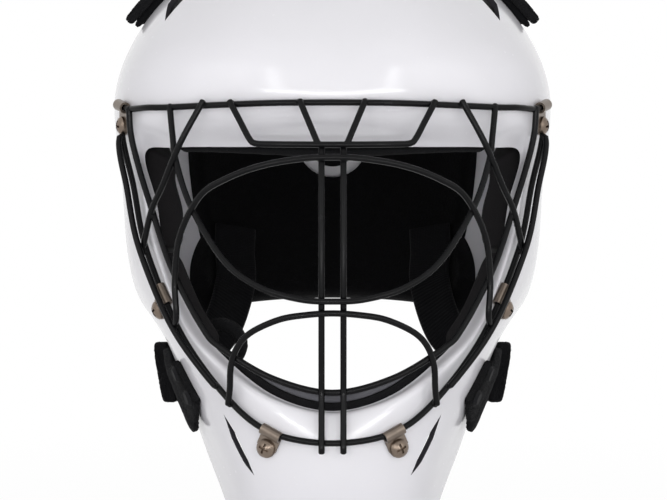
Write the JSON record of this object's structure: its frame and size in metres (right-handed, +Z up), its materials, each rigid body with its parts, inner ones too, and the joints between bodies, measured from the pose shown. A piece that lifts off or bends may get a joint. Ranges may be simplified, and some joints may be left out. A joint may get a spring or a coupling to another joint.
{
  "type": "goalie helmet",
  "caption": "White goalie helmet with a black wire face cage, foam pads, elastic straps and a back plate that swings open.",
  "frame": {"origin": "on the ground under the middle of the helmet, as worn and upright", "axes": "+Z up, the face looks along -Y, +X is the right side as seen from the front"},
  "size_m": [0.2272, 0.2796, 0.3179],
  "materials": {
    "shell": "gloss",
    "lining": "matt felt",
    "loop_fabric": "matt loop pile",
    "grey_foam": "matt closed-cell foam",
    "foam": "matt closed-cell foam",
    "screw": "dull nickel",
    "nut": "zinc",
    "rivet": "matt black",
    "clip": "dull nickel",
    "buckle": "matt black",
    "strap": "woven elastic",
    "wire": "satin black powder coat"
  },
  "bodies": {
    "mask": {"mask_shell": "shell", "brow_pad": "foam", "sweatband": "loop_fabric", "crown_pad": "foam", "temple_pad_left": "foam", "temple_pad_right": "foam", "cheek_pad_left": "foam", "cheek_pad_right": "foam", "chin_band": "loop_fabric", "chin_foam": "grey_foam", "top_bar": "wire", "inner_frame_wire": "wire", "rim_wire": "wire", "upper_eye_arch": "wire", "lower_eye_arc": "wire", "mouth_arch": "wire", "upright_bar_left": "wire", "upright_bar_right": "wire", "brow_bar": "wire", "brow_strut_left": "wire", "brow_strut_right": "wire", "side_brace_left": "wire", "side_brace_right": "wire", "outer_wire_left": "wire", "outer_wire_right": "wire", "temple_clip_left": "clip", "temple_clip_right": "clip", "cheek_clip_left": "clip", "cheek_clip_right": "clip", "chin_clip_left": "clip", "chin_clip_right": "clip", "clip_screws": "screw", "clip_nuts": "nut", "top_strap_left": "strap", "top_strap_right": "strap", "top_tab_left": "strap", "top_tab_right": "strap", "jaw_tab_left": "strap", "jaw_tab_right": "strap", "jaw_buckle_left": "buckle", "jaw_buckle_right": "buckle", "jaw_strap_left": "strap", "jaw_strap_right": "strap", "side_elastic_left": "strap", "side_elastic_right": "strap", "strap_loop": "strap", "mask_rivets": "rivet"},
    "back": {"back_plate": "shell", "back_lining": "lining", "lining_plug": "lining", "plate_rivets": "rivet"}
  },
  "joints": [
    {"name": "back_hinge", "type": "hinge", "parent": "mask", "child": "back", "pos_m": [0, 0.05, 0.288], "axis": [1, 0, 0], "range_deg": [0, 28], "deforming": ["top_strap_left", "top_strap_right", "side_elastic_left", "side_elastic_right"]}
  ]
}
